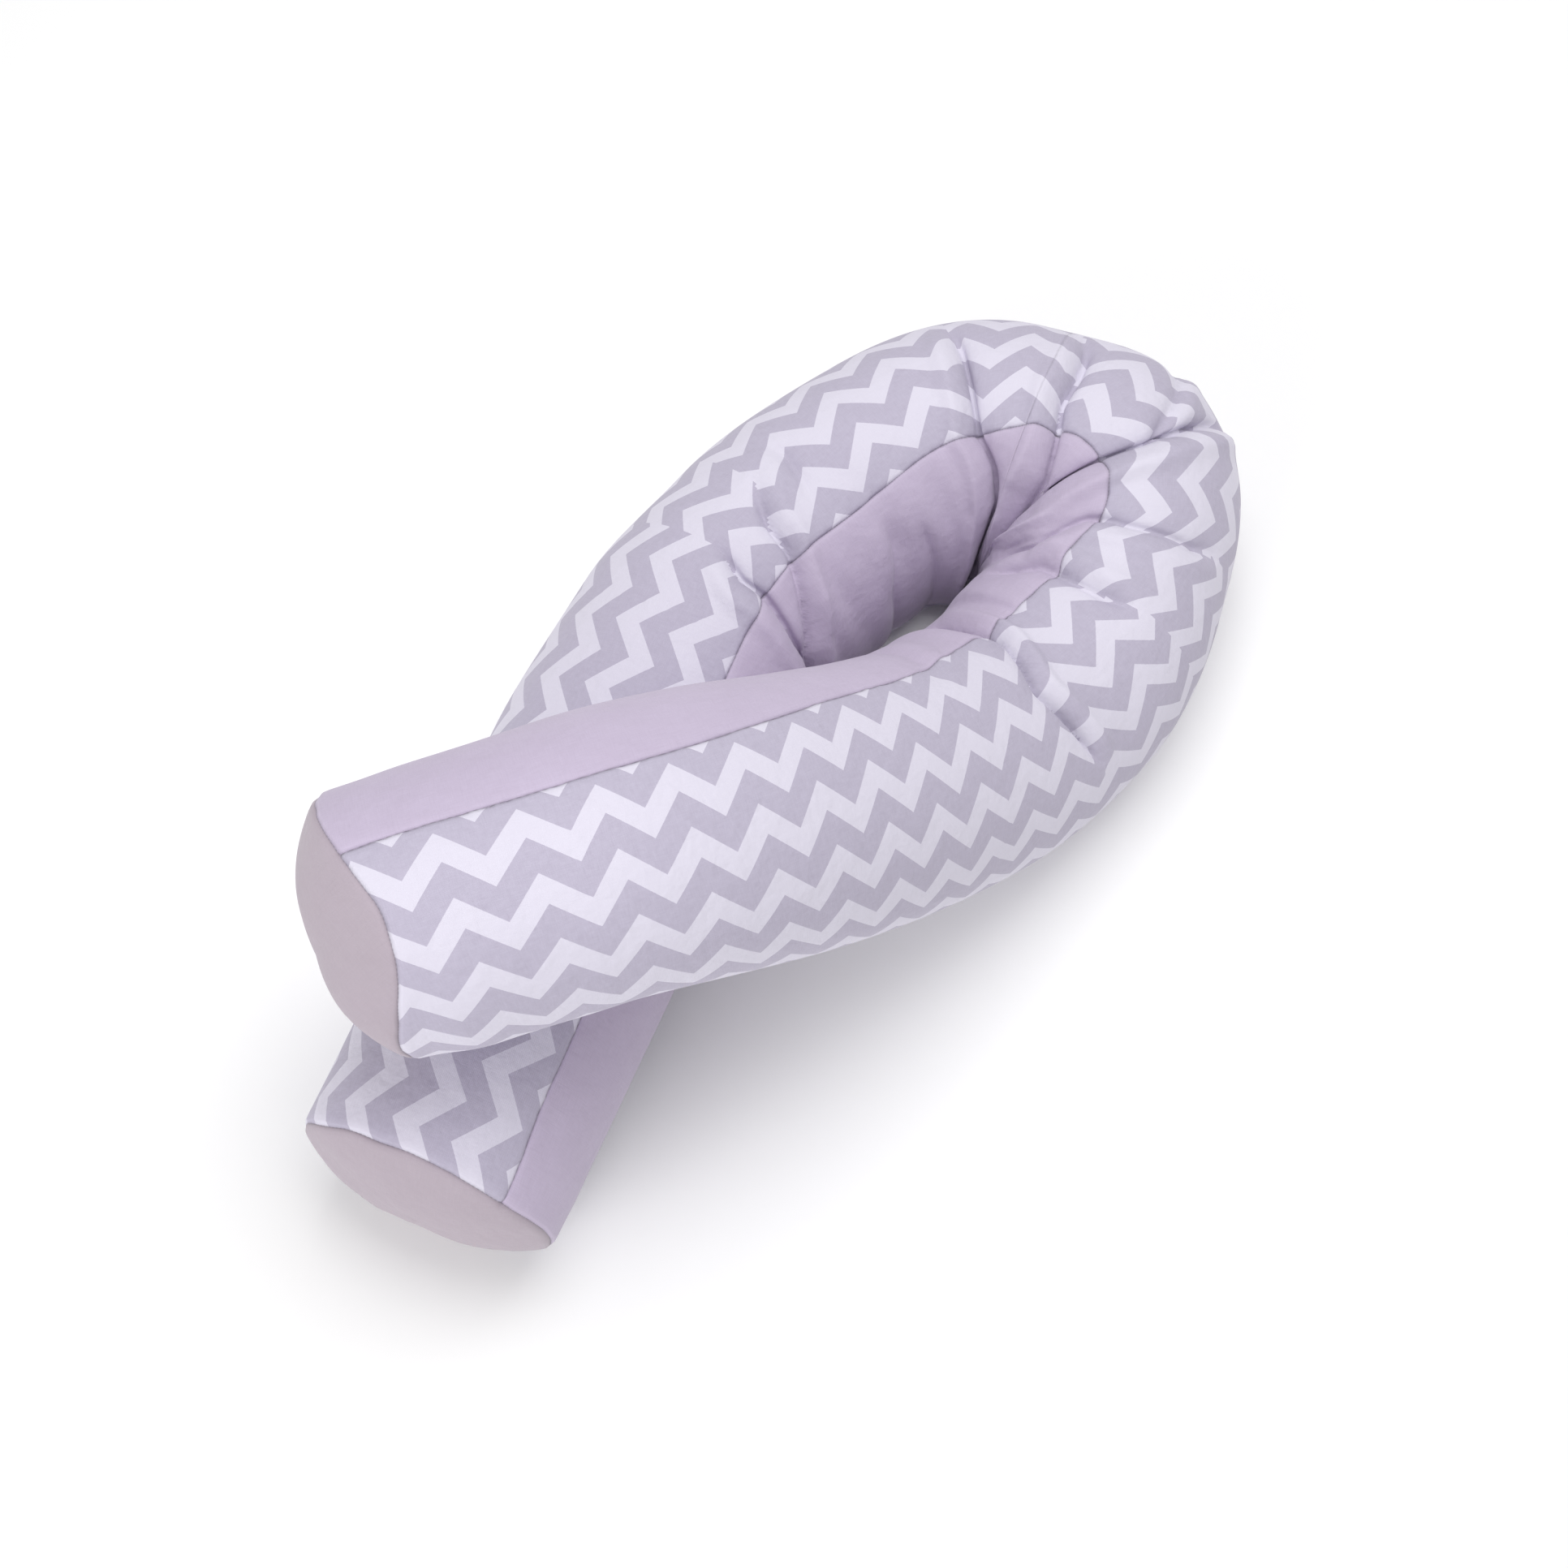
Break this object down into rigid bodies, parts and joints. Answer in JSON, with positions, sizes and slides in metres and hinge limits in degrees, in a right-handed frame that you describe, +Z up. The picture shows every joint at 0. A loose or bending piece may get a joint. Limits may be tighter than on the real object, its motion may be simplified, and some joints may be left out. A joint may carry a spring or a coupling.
{
  "type": "nursing pillow",
  "caption": "Long stuffed cotton bolster curled into a crossed loop, printed outside and plain inside, with domed round ends, an inner casing and a zip.",
  "frame": {"origin": "middle of the plan, on the surface the pillow lies on", "axes": "+Z up; the upper arm's end points to -X, the loop is at +X +Y"},
  "size_m": [0.6482, 0.6616, 0.3522],
  "materials": {
    "printed_cotton": "woven cotton with a white and pale lilac-grey zigzag print",
    "plain_cotton": "plain woven cotton, pale lilac-grey",
    "cap_cotton": "plain woven cotton, pale lilac-grey",
    "casing_cotton": "plain white lining",
    "fibre_filling": "loose white polyester fibre balls",
    "zip_tape": "woven white tape",
    "zip_coil": "moulded white coil",
    "zip_metal": "plated metal"
  },
  "bodies": {
    "loop": {"Loop_Print_Panel": "printed_cotton", "Loop_Plain_Panel": "plain_cotton", "Loop_Inner_Casing": "casing_cotton", "Loop_Filling": "fibre_filling"},
    "upper_arm": {"Upper_Arm_Print_Panel": "printed_cotton", "Upper_Arm_Plain_Panel": "plain_cotton", "Upper_Arm_Inner_Casing": "casing_cotton", "Upper_Arm_Filling": "fibre_filling", "Upper_Arm_End_Cap": "cap_cotton", "Upper_Arm_Casing_End": "casing_cotton"},
    "lower_arm": {"Lower_Arm_Print_Panel": "printed_cotton", "Lower_Arm_Plain_Panel": "plain_cotton", "Lower_Arm_Inner_Casing": "casing_cotton", "Lower_Arm_Filling": "fibre_filling", "Lower_Arm_End_Cap": "cap_cotton", "Lower_Arm_Casing_End": "casing_cotton", "Zip_Tape_Upper": "zip_tape", "Zip_Tape_Lower": "zip_tape", "Zip_Coil_Upper": "zip_coil", "Zip_Coil_Lower": "zip_coil", "Zip_Top_Stop_Upper": "zip_metal", "Zip_Top_Stop_Lower": "zip_metal", "Zip_Bottom_Stop": "zip_metal"},
    "zip_slider": {"Zip_Slider": "zip_metal"},
    "zip_puller": {"Zip_Puller": "zip_metal"}
  },
  "joints": [
    {"name": "upper_arm_swing", "type": "hinge", "parent": "loop", "child": "upper_arm", "pos_m": [0.18952, 0.05262, 0.082], "axis": [0, 0, 1], "range_deg": [0, 35]},
    {"name": "lower_arm_swing", "type": "hinge", "parent": "loop", "child": "lower_arm", "pos_m": [-0.05627, 0.09566, 0.082], "axis": [0, 0, -1], "range_deg": [0, 35]},
    {"name": "zip_slide", "type": "slide", "parent": "lower_arm", "child": "zip_slider", "axis": [0.4277, 0.9039, 0], "range_m": [0, 0.2324]},
    {"name": "zip_puller_swing", "type": "hinge", "parent": "zip_slider", "child": "zip_puller", "pos_m": [-0.14702, -0.27196, 0.03286], "axis": [-0.5041, 0.2385, -0.8301], "range_deg": [0, 165]}
  ]
}
